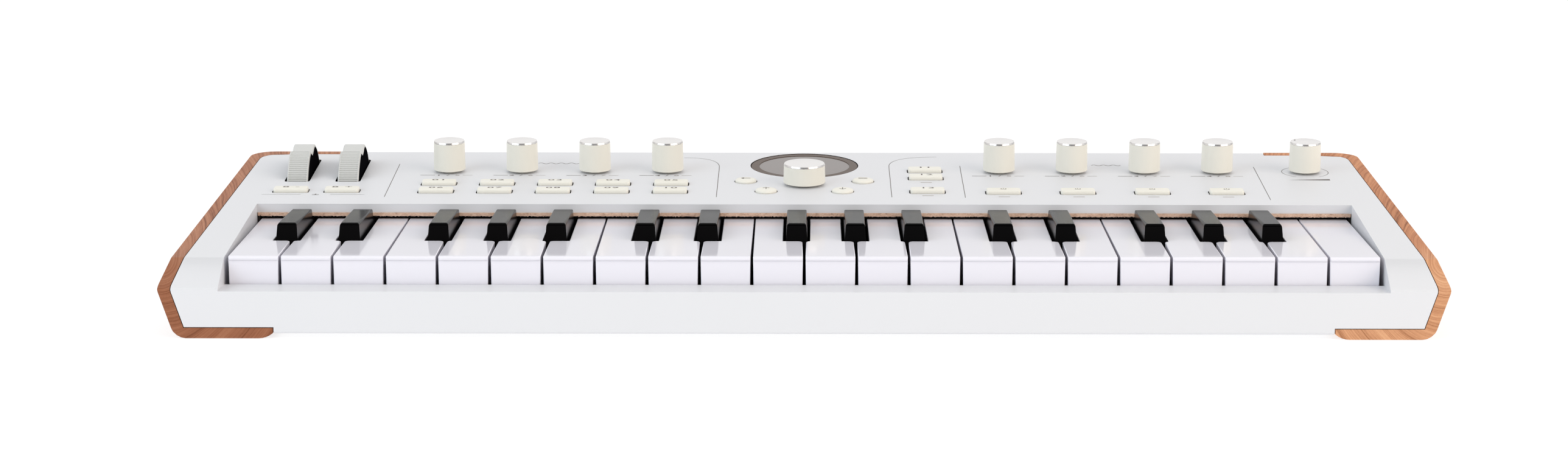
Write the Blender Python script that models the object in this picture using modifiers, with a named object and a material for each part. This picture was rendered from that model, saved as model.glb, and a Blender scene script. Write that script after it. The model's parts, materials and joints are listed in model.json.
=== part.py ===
"""A compact synthesizer: 37 slim keys and a tilted control panel in a white case with wooden end cheeks.

Sizes and places are in millimetres, and MM turns them into Blender's metres where an object is made.
X runs along the keyboard, +Y to the back and +Z up. The origin is under the middle of the case, on the
surface that the cheeks rest on. Places on the control panel are (x, s, h): s runs back along the tilted
panel from its front edge, and h stands square to it, with 0 on its surface.
"""

import math

import bmesh
import bpy
from mathutils import Matrix

MM = 0.001

# The case, seen from above and from its end.
HALF_DEPTH = 107.0
CREASE_Z = 20.5
CREASE_RADIUS = 4.5
WHITE_CREASE = 258.25
WOOD_CREASE = 263.7
END_LEAN = 0.34
WHITE_BOTTOM = 1.9
LEDGE_Z = 19.4
FACET_TOP_Y = -89.0
WALL = 2.5
CASE_EDGE_RADIUS = 1.2
ABOVE_ALL = 60.0
SEAM = 0.35

# The wooden end cheeks wrap under and behind the white case.
CHEEK_FLOOR = 4.6
CHEEK_BACK = 5.8
CHEEK_BACK_END = 212.3
CHEEK_FLOOR_END = 216.3
CHEEK_TIP_END = 222.5
CHEEK_TIP_RADIUS = 9.1
CHEEK_BACK_RADIUS = 10.0
CASE_BACK_RADIUS = 8.5
CHEEK_BOTTOM_RADIUS = 4.6

# The control panel's front edge and slope.
PANEL_Y = 4.4
PANEL_Z = 37.64
PANEL_TILT = math.radians(4.476)
PANEL_LIP_BOTTOM = 33.9

# The keys. The white keys' fronts stand at KEY_FRONT_Y, and all the keys turn on one rail under the panel.
WHITE_COUNT = 22
PITCH = 21.58
KEY_GAP = 0.7
KEY_FRONT_Y = -90.0
KEY_TOP = 31.0
KEY_BOTTOM = 17.0
KEY_FILLET = 1.6
TAIL_START = 7.0
TAIL_TOP = 27.0
TAIL_END = 41.0
PIVOT_Y = 35.0
PIVOT_Z = 22.0
RAIL_RADIUS = 1.7
NOTCH_Y = -51.6
NOTCH_WIDTH = 11.4
KEY_WALL = 1.6
HOLLOW_END = 28.0
WELL_HALF = 238.7
WELL_FRONT_Y = -90.7
BLACK_FRONT_Y = -50.5
BLACK_BACK_Y = -1.2
BLACK_WIDTH = 9.1
BLACK_TOP_WIDTH = 8.0
BLACK_TOP_FRONT = 38.1
BLACK_TOP_BACK = 36.4
BLACK_BOTTOM = 21.0
BLACK_SHOULDER = 31.8
# How far each black key sits from the joint of the two white keys beside it, by note in the octave.
BLACK_SHIFT = {0: -2.4, 1: 2.4, 3: -3.2, 4: 0.0, 5: 3.2}

# Knobs on the panel.
KNOB_S = 63.0
KNOB_PITCH = 32.9
LEFT_KNOBS_X = -111.2
RIGHT_KNOBS_X = 137.4
MASTER_X = 226.5
KNOB_RADIUS = 7.15
KNOB_TOP = 14.5
DIAL_S = 38.2
DIAL_RADIUS = 9.35
DIAL_TOP = 9.9
SKIRT_GAP = 1.0
SHAFT_RADIUS = 3.0
SHAFT_BOTTOM = -6.5

# Buttons on the panel.
BUTTON_SIZE = (15.4, 6.6)
BUTTON_GAP = 0.4
BUTTON_TOP = 1.6
ROUND_RADIUS = 4.8
ROUND_TOP = 1.3
CARRIER_TOP = -3.0
CARRIER_BOTTOM = -4.2
OCTAVE_BUTTONS = ((-227.2, 24.2), (-204.6, 24.2))
PRESET_X = (-163.0, -137.1, -111.2, -85.35, -59.45)
PRESET_S = (23.3, 38.1)
MODE_X = 54.5
MODE_S = (23.8, 49.7, 63.9)
EFFECT_S = 22.4
NAVIGATION_BUTTONS = ((-26.2, 43.7), (26.2, 43.7), (-16.95, 24.4), (16.95, 24.4))

# The performance wheels.
WHEEL_X = (-227.1, -204.4)
WHEEL_S = 64.2
WHEEL_DEPTH = 12.0
WHEEL_RADIUS = 23.8
WHEEL_WIDTH = 9.4
AXLE_RADIUS = 2.5
AXLE_REACH = 11.0
BRACKET_X = (-238.45, -215.75, -193.05)
SLOT_HALF = 5.65
SLOT_S = (41.9, 86.5)

# The round display.
DISPLAY_S = 75.5
DISPLAY_HOLE = 24.6
DISPLAY_RADIUS = 24.2
DISPLAY_GLASS = 20.6

# The panel board, under the panel and level with it.
BOARD_TOP = -7.0
BOARD_BOTTOM = -8.6
ENCODER_SIDE = 12.0
ENCODER_TOP = -3.2

# The power inlet in the back.
INLET_X = 168.0
INLET_Z = 13.0
INLET_WIDTH = 9.0
INLET_HEIGHT = 3.2

COLOURS = {
    "white_plastic": ((0.80, 0.80, 0.82), 0.45, 0.0),
    "key_white": ((0.82, 0.81, 0.85), 0.15, 0.0),
    "key_black": ((0.012, 0.012, 0.014), 0.18, 0.0),
    "cream_plastic": ((0.82, 0.80, 0.72), 0.35, 0.0),
    "button_plastic": ((0.76, 0.75, 0.66), 0.45, 0.0),
    "wood": ((0.42, 0.22, 0.12), 0.5, 0.0),
    "dark_plastic": ((0.035, 0.035, 0.038), 0.5, 0.0),
    "display_glass": ((0.19, 0.17, 0.155), 0.12, 0.0),
    "circuit_board": ((0.02, 0.12, 0.05), 0.5, 0.0),
}


def clear_scene():
    for obj in list(bpy.data.objects):
        bpy.data.objects.remove(obj)


def new_collection(name, helper=False):
    collection = bpy.data.collections.new(name)
    collection.hide_render = helper
    bpy.context.scene.collection.children.link(collection)
    return collection


def material(name):
    found = bpy.data.materials.get(name)
    if found:
        return found
    colour, roughness, metallic = COLOURS[name]
    made = bpy.data.materials.new(name)
    made.use_nodes = True
    shader = made.node_tree.nodes["Principled BSDF"]
    shader.inputs["Base Color"].default_value = (*colour, 1.0)
    shader.inputs["Roughness"].default_value = roughness
    shader.inputs["Metallic"].default_value = metallic
    return made


def place(obj, collection, matrix=None):
    """Put an object in its collection; a helper is drawn as wire and left out of renders."""
    collection.objects.link(obj)
    if matrix is not None:
        obj.matrix_world = matrix
    if collection.hide_render:
        obj.hide_render = True
        obj.display_type = "WIRE"
    return obj


def on_panel(x=0.0, s=0.0, h=0.0):
    """The matrix, in metres, that stands local Z square to the panel at a place on it."""
    panel = Matrix.Translation((0.0, PANEL_Y * MM, PANEL_Z * MM)) @ Matrix.Rotation(PANEL_TILT, 4, "X")
    return panel @ Matrix.Translation((x * MM, s * MM, h * MM))


def arc(centre, radius, start, end, steps):
    """Points round a centre from one angle to another, in degrees, both ends included."""
    angles = [math.radians(start + (end - start) * i / steps) for i in range(steps + 1)]
    return [(centre[0] + radius * math.cos(a), centre[1] + radius * math.sin(a)) for a in angles]


def rounded_rectangle(centre, size, radius, steps=3):
    half_x = size[0] / 2 - radius
    half_y = size[1] / 2 - radius
    points = []
    for turn, (sign_x, sign_y) in enumerate(((1, 1), (-1, 1), (-1, -1), (1, -1))):
        corner = (centre[0] + sign_x * half_x, centre[1] + sign_y * half_y)
        points += arc(corner, radius, 90 * turn, 90 * turn + 90, steps)
    return points


def inset(outline, distance):
    """A convex anticlockwise outline with every side moved in by the same distance."""
    moved = []
    for i, (x, y) in enumerate(outline):
        before = outline[i - 1]
        after = outline[(i + 1) % len(outline)]
        normals = []
        for start, end in ((before, (x, y)), ((x, y), after)):
            length = math.dist(start, end)
            normals.append(((start[1] - end[1]) / length, (end[0] - start[0]) / length))
        (ax, ay), (bx, by) = normals
        share = distance / (1 + ax * bx + ay * by)
        moved.append((x + share * (ax + bx), y + share * (ay + by)))
    return moved


# How a flat outline is stood up so that it is extruded along X, Y or Z.
STAND = {
    "X": Matrix(((0, 0, 1, 0), (1, 0, 0, 0), (0, 1, 0, 0), (0, 0, 0, 1))),
    "Y": Matrix(((1, 0, 0, 0), (0, 0, -1, 0), (0, 1, 0, 0), (0, 0, 0, 1))),
    "Z": Matrix.Identity(4),
}


def prism(name, outline, axis, start, end, collection, matrix=None):
    """A flat outline, (y, z), (x, z) or (x, y), extruded along X, Y or Z and made a clean mesh."""
    curve = bpy.data.curves.new(name, "CURVE")
    curve.dimensions = "2D"
    curve.fill_mode = "BOTH"
    curve.extrude = (end - start) / 2 * MM
    spline = curve.splines.new("POLY")
    spline.points.add(len(outline) - 1)
    for point, (u, v) in zip(spline.points, outline):
        point.co = (u * MM, v * MM, 0.0, 1.0)
    spline.use_cyclic_u = True
    guide = bpy.data.objects.new(name + "_outline", curve)
    bpy.context.scene.collection.objects.link(guide)
    graph = bpy.context.evaluated_depsgraph_get()
    mesh = bpy.data.meshes.new_from_object(guide.evaluated_get(graph))
    bpy.data.objects.remove(guide)
    mesh.name = name
    middle = (start + end) / 2 * MM
    along = {"X": (middle, 0, 0), "Y": (0, middle, 0), "Z": (0, 0, middle)}[axis]
    bm = bmesh.new()
    bm.from_mesh(mesh)
    bmesh.ops.transform(bm, matrix=Matrix.Translation(along) @ STAND[axis], verts=bm.verts)
    bmesh.ops.remove_doubles(bm, verts=bm.verts, dist=1e-6)
    bmesh.ops.dissolve_limit(bm, angle_limit=0.001, verts=bm.verts, edges=bm.edges)
    bmesh.ops.recalc_face_normals(bm, faces=bm.faces)
    bm.to_mesh(mesh)
    bm.free()
    return place(bpy.data.objects.new(name, mesh), collection, matrix)


def box(name, low, high, collection, matrix=None):
    outline = ((low[0], low[1]), (high[0], low[1]), (high[0], high[1]), (low[0], high[1]))
    return prism(name, outline, "Z", low[2], high[2], collection, matrix)


def cylinder(name, radius, low, high, sides, collection, matrix=None):
    """A round bar along local Z from one height to another."""
    bm = bmesh.new()
    bmesh.ops.create_cone(
        bm,
        cap_ends=True,
        segments=sides,
        radius1=radius * MM,
        radius2=radius * MM,
        depth=(high - low) * MM,
        matrix=Matrix.Translation((0, 0, (low + high) / 2 * MM)),
    )
    mesh = bpy.data.meshes.new(name)
    bm.to_mesh(mesh)
    bm.free()
    return place(bpy.data.objects.new(name, mesh), collection, matrix)


def turned(name, profile, steps, collection, matrix):
    """A profile of (radius, height), from the top of the axis to the bottom, turned round local Z."""
    mesh = bpy.data.meshes.new(name)
    points = [(radius * MM, 0.0, height * MM) for radius, height in profile]
    mesh.from_pydata(points, [(i, i + 1) for i in range(len(points) - 1)], [])
    obj = place(bpy.data.objects.new(name, mesh), collection, matrix)
    screw = obj.modifiers.new("Turn", "SCREW")
    screw.steps = steps
    screw.render_steps = steps
    screw.use_merge_vertices = True
    screw.merge_threshold = 1e-6
    return obj


def round_edges(obj, radius, steps, pick):
    """Round the edges that pass the test, given each edge's middle in millimetres and its direction."""
    bm = bmesh.new()
    bm.from_mesh(obj.data)
    edges = []
    for edge in bm.edges:
        start, end = (vertex.co / MM for vertex in edge.verts)
        if edge.is_convex and pick((start + end) / 2, (end - start).normalized()):
            edges.append(edge)
    bmesh.ops.bevel(bm, geom=edges, offset=radius * MM, segments=steps, profile=0.5, affect="EDGES")
    bmesh.ops.connect_verts_nonplanar(bm, angle_limit=1e-4, faces=bm.faces)
    bm.to_mesh(obj.data)
    bm.free()


def round_outer_edges(obj, radius, steps, pick):
    """Apply the object's modifiers, then round the convex edges over 32 degrees that pass the test."""
    graph = bpy.context.evaluated_depsgraph_get()
    mesh = bpy.data.meshes.new_from_object(obj.evaluated_get(graph))
    obj.modifiers.clear()
    obj.data = mesh
    bm = bmesh.new()
    bm.from_mesh(mesh)
    bmesh.ops.dissolve_limit(bm, angle_limit=0.001, verts=bm.verts, edges=bm.edges)
    edges = []
    for edge in bm.edges:
        start, end = (vertex.co / MM for vertex in edge.verts)
        if edge.is_convex and edge.calc_face_angle() > math.radians(32):
            if pick((start + end) / 2, (end - start).normalized()):
                edges.append(edge)
    bmesh.ops.bevel(bm, geom=edges, offset=radius * MM, segments=steps, profile=0.5, affect="EDGES")
    bmesh.ops.triangulate(bm, faces=bm.faces)
    bm.to_mesh(mesh)
    bm.free()


def boolean(obj, operation, other):
    """Join, cut or keep the common part with another object, or with all those of a collection."""
    modifier = obj.modifiers.new(other.name, "BOOLEAN")
    modifier.operation = operation
    modifier.solver = "EXACT"
    if isinstance(other, bpy.types.Collection):
        modifier.operand_type = "COLLECTION"
        modifier.collection = other
    else:
        modifier.object = other


def set_origin(obj, point):
    """Move an object's origin to a place in millimetres, and leave its shape where it is."""
    target = Matrix.Translation([value * MM for value in point])
    obj.data.transform(target.inverted() @ obj.matrix_world)
    obj.matrix_world = target


def finish(obj, material_name):
    obj.data.materials.append(material(material_name))
    obj.data.shade_smooth()
    obj.data.set_sharp_from_angle(angle=math.radians(30))


# ---------------------------------------------------------------- the case


def end_half(crease, z):
    """Half the width at a height: the ends lean in above and below their crease."""
    return crease - END_LEAN * abs(z - CREASE_Z)


def top_z(y):
    """The height of the tilted top at a depth."""
    return PANEL_Z + (y - PANEL_Y) * math.tan(PANEL_TILT)


def side_outline():
    """The case seen from its end: upright front, facet and tilted top, run on past the back and the bottom."""
    back = HALF_DEPTH + 10
    below = -10.0
    return [
        (-HALF_DEPTH, below),
        (back, below),
        (back, top_z(back)),
        (FACET_TOP_Y, top_z(FACET_TOP_Y)),
        (-HALF_DEPTH, CREASE_Z),
    ]


def is_back_corner(y):
    """A test for the leaning edges at the back of an end."""
    return lambda middle, way: abs(middle.x) > 230 and abs(middle.y - y) < 0.01 and abs(way.z) > 0.5


def is_crease(middle, way):
    """A test for the edges along an end's crease, those round its back corner included."""
    return abs(middle.x) > 230 and abs(middle.z - CREASE_Z) < 0.01 and abs(way.z) < 0.1


def is_open_edge(middle, way):
    """A test for the long edges of the white case that no cheek lies against."""
    at_floor = abs(middle.z - CHEEK_FLOOR) < 0.1
    at_back = abs(middle.y - HALF_DEPTH + CHEEK_BACK) < 0.1
    return abs(way.x) > 0.9 and not at_floor and not at_back


def white_core(name, grow, collection):
    """The white case between the cheeks, run on past the front and the top, grown all round."""
    crease = WHITE_CREASE + grow
    floor = CHEEK_FLOOR - grow
    half = [
        (end_half(crease, floor), floor),
        (crease, CREASE_Z),
        (end_half(crease, ABOVE_ALL), ABOVE_ALL),
    ]
    outline = half + [(-x, z) for x, z in reversed(half)]
    back = HALF_DEPTH - CHEEK_BACK + grow
    core = prism(name, outline, "Y", -HALF_DEPTH - 10, back, collection)
    round_edges(core, CASE_BACK_RADIUS + grow, 4, is_back_corner(back))
    round_edges(core, CREASE_RADIUS * END_LEAN, 3, is_crease)
    return core


def make_top_case(parts, helpers):
    case = white_core("top_case", 0.0, parts)
    half = [
        (CHEEK_FLOOR_END, -HALF_DEPTH - 5),
        (CHEEK_FLOOR_END, HALF_DEPTH - CHEEK_BACK - 5),
        (CHEEK_BACK_END, HALF_DEPTH - CHEEK_BACK - 5),
        (CHEEK_BACK_END, HALF_DEPTH),
    ]
    outline = half + [(-x, y) for x, y in reversed(half)]
    middle = prism("case_middle", outline, "Z", WHITE_BOTTOM, ABOVE_ALL - 5, helpers)
    boolean(case, "UNION", middle)
    boolean(case, "INTERSECT", prism("case_outside", side_outline(), "X", -270, 270, helpers))
    round_outer_edges(case, CASE_EDGE_RADIUS, 3, is_open_edge)
    boolean(case, "DIFFERENCE", make_cavity(helpers))
    boolean(case, "UNION", make_inner_walls(helpers))
    boolean(case, "DIFFERENCE", make_key_well(helpers))
    boolean(case, "DIFFERENCE", make_case_holes())
    finish(case, "white_plastic")


def make_cavity(helpers):
    """The room inside the case, open underneath."""
    half = [
        (end_half(WHITE_CREASE, -5) - WALL, -5),
        (WHITE_CREASE - WALL - 0.3, CREASE_Z),
        (end_half(WHITE_CREASE, ABOVE_ALL) - WALL, ABOVE_ALL),
    ]
    outline = half + [(-x, z) for x, z in reversed(half)]
    back = HALF_DEPTH - CHEEK_BACK - WALL
    cavity = prism("cavity", outline, "Y", -HALF_DEPTH + WALL, back, helpers)
    behind = box(
        "cavity_behind",
        (-CHEEK_BACK_END + WALL, 0.0, -5.0),
        (CHEEK_BACK_END - WALL, HALF_DEPTH - WALL, ABOVE_ALL),
        helpers,
    )
    boolean(cavity, "UNION", behind)
    inside = inset(side_outline(), WALL)
    boolean(cavity, "INTERSECT", prism("cavity_inside", inside, "X", -270, 270, helpers))
    return cavity


def make_inner_walls(helpers):
    """The walls that go in after the cavity is cut: the well's sides, ledge and lip, and the wheel brackets."""
    walls = bpy.data.collections.new("inner_walls")
    helpers.children.link(walls)
    walls.hide_render = True
    skin = inset(side_outline(), 1.0)
    well_side = [
        (1 - HALF_DEPTH, 8.0),
        (PANEL_Y + WALL, 8.0),
        (PANEL_Y + WALL, PANEL_Z - 1.0),
        skin[3],
        skin[4],
    ]
    for side in (-1, 1):
        ends = sorted((side * (WELL_HALF - 1), side * (WELL_HALF + WALL)))
        prism(f"well_side_{side}", well_side, "X", *ends, walls)
    reach = WELL_HALF + 1
    box(
        "ledge",
        (-reach, 1 - HALF_DEPTH, LEDGE_Z - WALL),
        (reach, WELL_FRONT_Y + 1, LEDGE_Z + 1),
        walls,
    )
    box(
        "panel_lip",
        (-reach, PANEL_Y - 2, PANEL_LIP_BOTTOM),
        (reach, PANEL_Y + WALL, PANEL_Z - 1.0),
        walls,
    )
    for x in BRACKET_X:
        low = (x - 1, WHEEL_S - 8, -WHEEL_DEPTH - 5)
        high = (x + 1, WHEEL_S + 8, -1.0)
        box("wheel_bracket", low, high, walls, on_panel())
    return walls


def make_key_well(helpers):
    """What is cut away for the keys and above the ledge in front of them."""
    well = box(
        "key_well",
        (-WELL_HALF, WELL_FRONT_Y, -5.0),
        (WELL_HALF, PANEL_Y, ABOVE_ALL),
        helpers,
    )
    above_ledge = box(
        "above_ledge",
        (-WELL_HALF, -HALF_DEPTH - 5, LEDGE_Z),
        (WELL_HALF, PANEL_Y - 5, ABOVE_ALL),
        helpers,
    )
    boolean(well, "UNION", above_ledge)
    return well


def make_case_holes():
    """The holes through the panel, the wheels' axle bore and the inlet in the back."""
    holes = new_collection("case_holes", helper=True)
    for x, s in knob_places() + [(0.0, DIAL_S)]:
        cylinder("shaft_hole", SHAFT_RADIUS + 0.8, -4, 2, 16, holes, on_panel(x, s))
    for x, s in NAVIGATION_BUTTONS:
        cylinder("round_hole", ROUND_RADIUS + BUTTON_GAP, -4, 2, 20, holes, on_panel(x, s))
    hole_size = [side + 2 * BUTTON_GAP for side in BUTTON_SIZE]
    for place_of_button in preset_places() + function_places() + list(OCTAVE_BUTTONS):
        outline = rounded_rectangle(place_of_button, hole_size, 1.2, 2)
        prism("button_hole", outline, "Z", -4, 2, holes, on_panel())
    for x in WHEEL_X:
        middle = (x, sum(SLOT_S) / 2)
        outline = rounded_rectangle(middle, (2 * SLOT_HALF, SLOT_S[1] - SLOT_S[0]), 1.5, 2)
        prism("wheel_slot", outline, "Z", -4, 2, holes, on_panel())
    cylinder("display_hole", DISPLAY_HOLE, -4, 2, 48, holes, on_panel(0.0, DISPLAY_S))
    axle = on_panel(0.0, WHEEL_S, -WHEEL_DEPTH) @ Matrix.Rotation(math.radians(90), 4, "Y")
    cylinder("axle_bore", AXLE_RADIUS + 0.4, BRACKET_X[0] - 2, BRACKET_X[2] + 2, 12, holes, axle)
    inlet = rounded_rectangle(
        (INLET_X, INLET_Z), (INLET_WIDTH + 0.6, INLET_HEIGHT + 0.6), INLET_HEIGHT / 2, 4
    )
    prism("inlet_hole", inlet, "Y", HALF_DEPTH - 5, HALF_DEPTH + 3, holes)
    return holes


def make_bottom_case(parts, helpers):
    """The plate that closes the case underneath, with the block that holds the power inlet."""
    side = CHEEK_FLOOR_END - 0.4
    step = CHEEK_BACK_END - WALL - 0.4
    front = -HALF_DEPTH + WALL + 0.4
    middle_back = HALF_DEPTH - WALL - 0.4
    back = middle_back - CHEEK_BACK
    outline = [
        (-side, front),
        (side, front),
        (side, back),
        (step, back),
        (step, middle_back),
        (-step, middle_back),
        (-step, back),
        (-side, back),
    ]
    plate = prism("bottom_case", outline, "Z", WHITE_BOTTOM, WHITE_BOTTOM + WALL, parts)
    low = (INLET_X - 7, middle_back - 8, WHITE_BOTTOM + 1)
    high = (INLET_X + 7, middle_back, INLET_Z + 4)
    boolean(plate, "UNION", box("inlet_block", low, high, helpers))
    socket = rounded_rectangle((INLET_X, INLET_Z), (INLET_WIDTH, INLET_HEIGHT), 1.5, 3)
    boolean(
        plate, "DIFFERENCE", prism("inlet_socket", socket, "Y", middle_back - 6, HALF_DEPTH, helpers)
    )
    finish(plate, "white_plastic")


def make_cheeks(parts, helpers):
    """The wooden ends: each wraps round the side, the underside and the back corner of the case."""
    outside = prism("cheek_outside", side_outline(), "X", -270, 270, helpers)
    core = white_core("cheek_inside", SEAM, helpers)
    floor_end = CHEEK_FLOOR_END + SEAM
    back_end = CHEEK_BACK_END + SEAM
    turn = math.degrees(math.asin((CHEEK_TIP_END - floor_end) / CHEEK_TIP_RADIUS))
    tip = arc((CHEEK_TIP_END, CHEEK_TIP_RADIUS), CHEEK_TIP_RADIUS, 270 - turn, 270, 4)
    for name, side in (("cheek_left", -1), ("cheek_right", 1)):
        outline = [
            (back_end, ABOVE_ALL),
            (back_end, CHEEK_FLOOR),
            (floor_end, CHEEK_FLOOR),
            *tip,
            (end_half(WOOD_CREASE, 0.0), 0.0),
            (WOOD_CREASE, CREASE_Z),
            (end_half(WOOD_CREASE, ABOVE_ALL), ABOVE_ALL),
        ]
        outline = [(side * x, z) for x, z in outline]
        cheek = prism(name, outline, "Y", -HALF_DEPTH - 10, HALF_DEPTH, parts)
        round_edges(cheek, CHEEK_BACK_RADIUS, 6, is_back_corner(HALF_DEPTH))
        round_edges(
            cheek,
            CHEEK_BOTTOM_RADIUS,
            4,
            lambda middle, way: abs(middle.x) > 250 and abs(middle.z) < 0.01 and abs(way.y) > 0.9,
        )
        round_edges(cheek, CREASE_RADIUS * END_LEAN, 3, is_crease)
        boolean(cheek, "INTERSECT", outside)
        boolean(cheek, "DIFFERENCE", core)
        finish(cheek, "wood")


# ---------------------------------------------------------------- the keys


def black_places():
    """The middle of each black key along X, with the index of the white key to its left."""
    places = {}
    for i in range(WHITE_COUNT - 1):
        if i % 7 in BLACK_SHIFT:
            places[i] = (i + 1 - WHITE_COUNT / 2) * PITCH + BLACK_SHIFT[i % 7]
    return places


def key_slot():
    """The slot under a key's tail that drops over the pivot rail, from its back edge to its front one."""
    round_top = arc((PIVOT_Y, PIVOT_Z), RAIL_RADIUS + 0.45, 0, 180, 4)
    return [(PIVOT_Y + 3.0, KEY_BOTTOM)] + round_top + [(PIVOT_Y - 3.0, KEY_BOTTOM)]


def white_outline(index, blacks, wall, back):
    """A white key seen from above, drawn in from its real sides by a wall."""
    left = (index - WHITE_COUNT / 2) * PITCH
    right = left + PITCH
    narrow_left = left + KEY_GAP / 2
    narrow_right = right - KEY_GAP / 2
    if index - 1 in blacks:
        narrow_left = blacks[index - 1] + NOTCH_WIDTH / 2
    if index in blacks:
        narrow_right = blacks[index] - NOTCH_WIDTH / 2
    left += KEY_GAP / 2 + wall
    right -= KEY_GAP / 2 + wall
    narrow_left += wall
    narrow_right -= wall
    shoulder = NOTCH_Y - wall
    points = [(left, KEY_FRONT_Y + wall), (right, KEY_FRONT_Y + wall)]
    if index in blacks:
        points += [(right, shoulder), (narrow_right, shoulder)]
    points += [(narrow_right, back), (narrow_left, back)]
    if index - 1 in blacks:
        points += [(narrow_left, shoulder), (left, shoulder)]
    return points


def make_white_keys(parts, helpers, blacks):
    fillet = arc((KEY_FRONT_Y + KEY_FILLET, KEY_TOP - KEY_FILLET), KEY_FILLET, 90, 180, 3)
    profile = [
        (TAIL_START, KEY_TOP),
        *fillet,
        (KEY_FRONT_Y, KEY_BOTTOM),
        *reversed(key_slot()),
        (TAIL_END, KEY_BOTTOM),
        (TAIL_END, TAIL_TOP),
        (TAIL_START, TAIL_TOP),
    ]
    side_view = prism("white_key_profile", profile, "X", -245, 245, helpers)
    for index in range(WHITE_COUNT):
        name = f"white_key_{index + 1:02d}"
        outline = white_outline(index, blacks, 0.0, TAIL_END + 2)
        key = prism(name, outline, "Z", KEY_BOTTOM - 2, KEY_TOP + 2, parts)
        hollow_outline = white_outline(index, blacks, KEY_WALL, HOLLOW_END)
        hollow = prism(
            name + "_hollow", hollow_outline, "Z", KEY_BOTTOM - 4, TAIL_TOP - KEY_WALL, helpers
        )
        boolean(key, "INTERSECT", side_view)
        boolean(key, "DIFFERENCE", hollow)
        set_origin(key, ((index + 0.5 - WHITE_COUNT / 2) * PITCH, PIVOT_Y, PIVOT_Z))
        finish(key, "key_white")


def make_black_keys(parts, helpers, blacks):
    profile = [
        (BLACK_FRONT_Y, BLACK_BOTTOM),
        (-20.0, KEY_BOTTOM),
        *reversed(key_slot()),
        (TAIL_END, KEY_BOTTOM),
        (TAIL_END, TAIL_TOP),
        (TAIL_START, TAIL_TOP),
        (TAIL_START, BLACK_SHOULDER),
        (BLACK_BACK_Y, BLACK_SHOULDER),
        (BLACK_BACK_Y, BLACK_TOP_BACK - 1.0),
        (BLACK_BACK_Y - 0.8, BLACK_TOP_BACK),
        (BLACK_FRONT_Y + 2.4, BLACK_TOP_FRONT),
        (BLACK_FRONT_Y + 1.4, BLACK_TOP_FRONT - 0.9),
        (BLACK_FRONT_Y, KEY_TOP - 0.5),
    ]
    side_view = prism("black_key_profile", profile, "X", -245, 245, helpers)
    half = BLACK_WIDTH / 2
    top_half = BLACK_TOP_WIDTH / 2
    section = [
        (half, KEY_BOTTOM - 2),
        (half, KEY_TOP),
        (top_half + 0.1, BLACK_TOP_FRONT - 0.8),
        (top_half - 0.6, BLACK_TOP_FRONT + 0.1),
    ]
    section += [(-x, z) for x, z in reversed(section)]
    for number, middle in enumerate(blacks.values(), start=1):
        name = f"black_key_{number:02d}"
        outline = [(middle + x, z) for x, z in section]
        key = prism(name, outline, "Y", BLACK_FRONT_Y - 2, TAIL_END + 2, parts)
        inner = half - KEY_WALL
        hollow = box(
            name + "_hollow",
            (middle - inner, BLACK_FRONT_Y + 2.5, KEY_BOTTOM - 2),
            (middle + inner, BLACK_BACK_Y - 2.5, KEY_TOP + 3),
            helpers,
        )
        boolean(key, "INTERSECT", side_view)
        boolean(key, "DIFFERENCE", hollow)
        set_origin(key, (middle, PIVOT_Y, PIVOT_Z))
        finish(key, "key_black")


def make_key_frame(parts):
    """The keyboard's chassis: a base with the stop ribs and the rail that the keys turn on."""
    base = WHITE_BOTTOM + WALL + 0.5
    top = base + 2.0
    front = KEY_FRONT_Y + 4
    outline = [
        (front, base),
        (TAIL_END + 3, base),
        (TAIL_END + 3, top),
        (PIVOT_Y + RAIL_RADIUS, top),
        *arc((PIVOT_Y, PIVOT_Z), RAIL_RADIUS, 0, 180, 4),
        (PIVOT_Y - RAIL_RADIUS, top),
        (front, top),
    ]
    half = WHITE_COUNT / 2 * PITCH
    frame = prism("key_frame", outline, "X", -half, half, parts)
    finish(frame, "dark_plastic")


# ---------------------------------------------------------------- the panel's controls


def knob_places():
    offsets = [(i - 1.5) * KNOB_PITCH for i in range(4)]
    places = [(middle + offset, KNOB_S) for middle in (LEFT_KNOBS_X, RIGHT_KNOBS_X) for offset in offsets]
    return places + [(MASTER_X, KNOB_S)]


def preset_places():
    return [(x, s) for s in PRESET_S for x in PRESET_X]


def function_places():
    """The mode column, then the four effect switches, one in front of each right-hand knob."""
    effects = [(x, EFFECT_S) for x, _ in knob_places()[4:8]]
    return [(MODE_X, s) for s in MODE_S] + effects


def make_knob(name, x, s, radius, top, steps, parts):
    """A knob with its shaft: a body that narrows a little upwards, and a chamfered cap."""
    rim = radius - 0.18
    profile = [
        (0.0, top),
        (rim - 1.1, top),
        (rim, top - 1.0),
        (rim, top - 1.5),
        (radius, SKIRT_GAP + 0.3),
        (radius - 0.4, SKIRT_GAP),
        (SHAFT_RADIUS, SKIRT_GAP),
        (SHAFT_RADIUS, SHAFT_BOTTOM),
        (0.0, SHAFT_BOTTOM),
    ]
    finish(turned(name, profile, steps, parts, on_panel(x, s)), "cream_plastic")


def make_knobs(parts):
    names = [f"instrument_knob_{i}" for i in range(1, 5)]
    names += [f"effect_knob_{i}" for i in range(1, 5)] + ["master_knob"]
    for name, (x, s) in zip(names, knob_places()):
        make_knob(name, x, s, KNOB_RADIUS, KNOB_TOP, 16, parts)
    make_knob("display_dial", 0.0, DIAL_S, DIAL_RADIUS, DIAL_TOP, 20, parts)


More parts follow.
